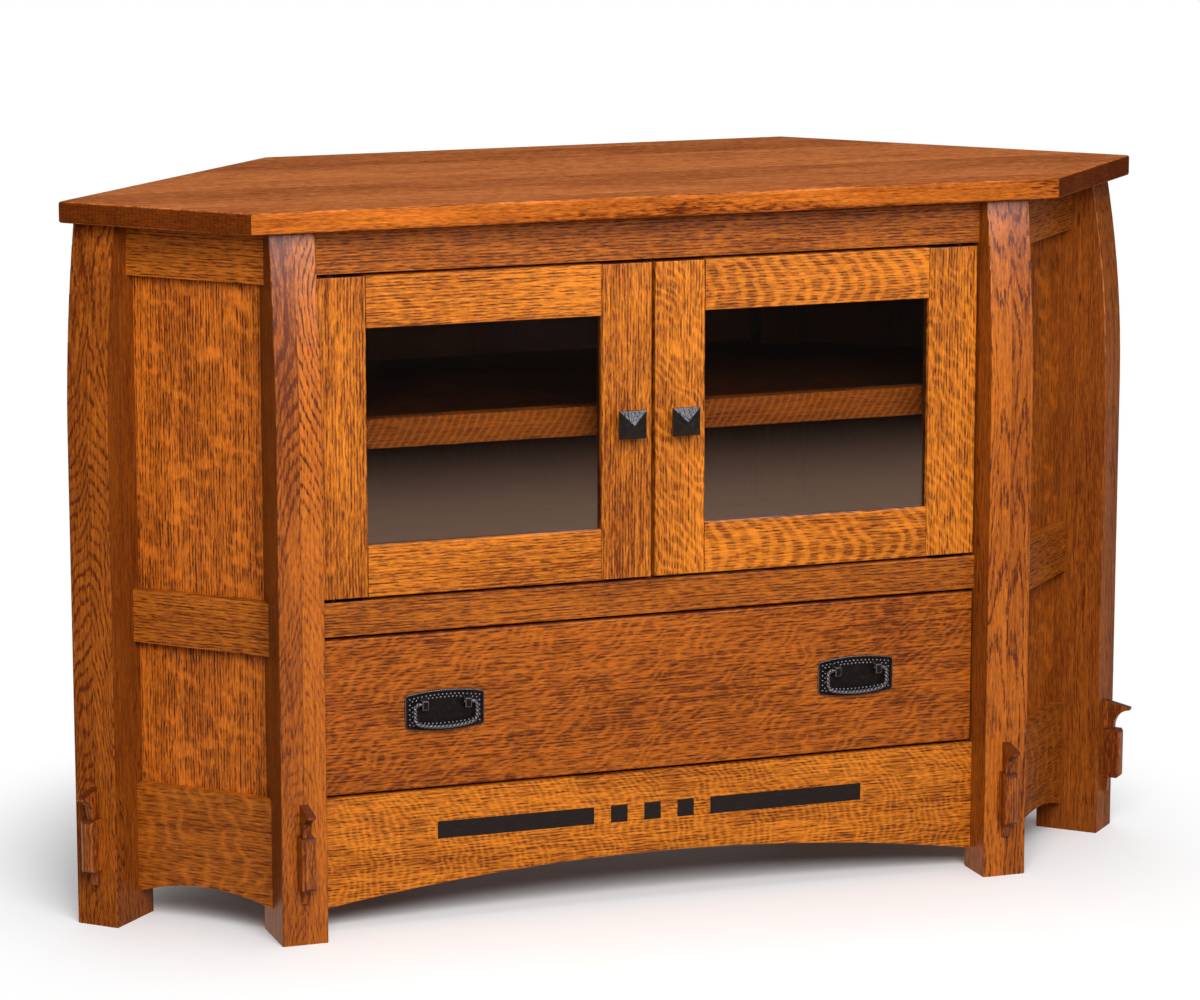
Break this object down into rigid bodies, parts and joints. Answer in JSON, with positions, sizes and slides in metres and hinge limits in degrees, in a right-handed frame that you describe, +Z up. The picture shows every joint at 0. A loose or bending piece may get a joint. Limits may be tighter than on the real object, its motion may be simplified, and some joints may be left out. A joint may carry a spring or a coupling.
{
  "type": "corner cabinet",
  "caption": "Mission style oak corner media cabinet with canted sides, curved legs, wedged tenons, glazed doors, shelf, inlaid arched apron and wide drawer.",
  "frame": {"origin": "on the floor, at the middle of the whole cabinet's box", "axes": "+X to the right seen from the front, +Y back towards the room's corner, +Z up; the doors and drawer face -Y"},
  "size_m": [1.2874, 0.5124, 0.813],
  "materials": {
    "top_oak": "satin lacquer over red-brown stain",
    "leg_oak": "satin lacquer over brown stain",
    "front_oak": "satin lacquer over orange-brown stain",
    "side_oak": "satin lacquer over brown stain",
    "door_oak": "satin lacquer over orange-brown stain",
    "drawer_oak": "satin lacquer over orange-brown stain",
    "inner_oak": "satin stain",
    "back_oak": "plain stain",
    "back_board": "stained veneered board",
    "box_maple": "clear lacquer",
    "black_inlay": "ebonised, satin",
    "black_iron": "hammered, black",
    "plain_steel": "zinc plated",
    "catch_plastic": "dark brown, matte",
    "clear_glass": "clear, polished"
  },
  "bodies": {
    "cabinet": {"apron_inlay": "black_inlay", "back_panel_centre": "back_board", "back_panel_left": "back_board", "back_panel_right": "back_board", "back_post_left": "back_oak", "back_post_right": "back_oak", "bay_sides": "inner_oak", "cabinet_floor": "inner_oak", "door_catch": "catch_plastic", "floor_bearers": "leg_oak", "frame_hinge_leaves": "plain_steel", "front_apron": "front_oak", "front_leg_left": "leg_oak", "front_leg_right": "leg_oak", "front_mid_rail": "front_oak", "front_top_rail": "front_oak", "front_wedges": "leg_oak", "lower_back_rails": "leg_oak", "media_deck": "inner_oak", "rear_leg_left": "leg_oak", "rear_leg_right": "leg_oak", "rear_wedges": "leg_oak", "shelf_board": "inner_oak", "shelf_nosing": "inner_oak", "shelf_pins": "plain_steel", "side_bottom_rail_left": "side_oak", "side_bottom_rail_right": "side_oak", "side_lower_panel_left": "side_oak", "side_lower_panel_right": "side_oak", "side_mid_rail_left": "side_oak", "side_mid_rail_right": "side_oak", "side_top_rail_left": "side_oak", "side_top_rail_right": "side_oak", "side_upper_panel_left": "side_oak", "side_upper_panel_right": "side_oak", "slide_channels": "plain_steel", "top_cleats": "inner_oak", "top_panel": "top_oak", "upper_back_rails": "back_oak"},
    "left_door": {"left_door_glass": "clear_glass", "left_door_glass_stops": "door_oak", "left_door_hinge_leaves": "plain_steel", "left_door_knob": "black_iron", "left_door_rails": "door_oak", "left_door_stiles": "door_oak"},
    "right_door": {"right_door_glass": "clear_glass", "right_door_glass_stops": "door_oak", "right_door_hinge_leaves": "plain_steel", "right_door_knob": "black_iron", "right_door_rails": "door_oak", "right_door_stiles": "door_oak"},
    "drawer": {"drawer_front": "drawer_oak", "drawer_box": "box_maple", "drawer_bottom": "back_board", "slide_runners": "plain_steel", "left_pull_plate": "black_iron", "right_pull_plate": "black_iron"},
    "left_bail_loop": {"left_bail": "black_iron"},
    "right_bail_loop": {"right_bail": "black_iron"}
  },
  "joints": [
    {"name": "left_door_hinge", "type": "hinge", "parent": "cabinet", "child": "left_door", "pos_m": [-0.3718, -0.17825, 0.55525], "axis": [0, 0, -1], "range_deg": [0, 100]},
    {"name": "right_door_hinge", "type": "hinge", "parent": "cabinet", "child": "right_door", "pos_m": [0.3718, -0.17825, 0.55525], "axis": [0, 0, 1], "range_deg": [0, 100]},
    {"name": "drawer_slide", "type": "slide", "parent": "cabinet", "child": "drawer", "axis": [0, -1, 0], "range_m": [0, 0.235]},
    {"name": "left_bail_swing", "type": "hinge", "parent": "drawer", "child": "left_bail_loop", "pos_m": [-0.2465, -0.19375, 0.253], "axis": [-1, 0, 0], "range_deg": [0, 95]},
    {"name": "right_bail_swing", "type": "hinge", "parent": "drawer", "child": "right_bail_loop", "pos_m": [0.2465, -0.19375, 0.253], "axis": [-1, 0, 0], "range_deg": [0, 95]}
  ]
}
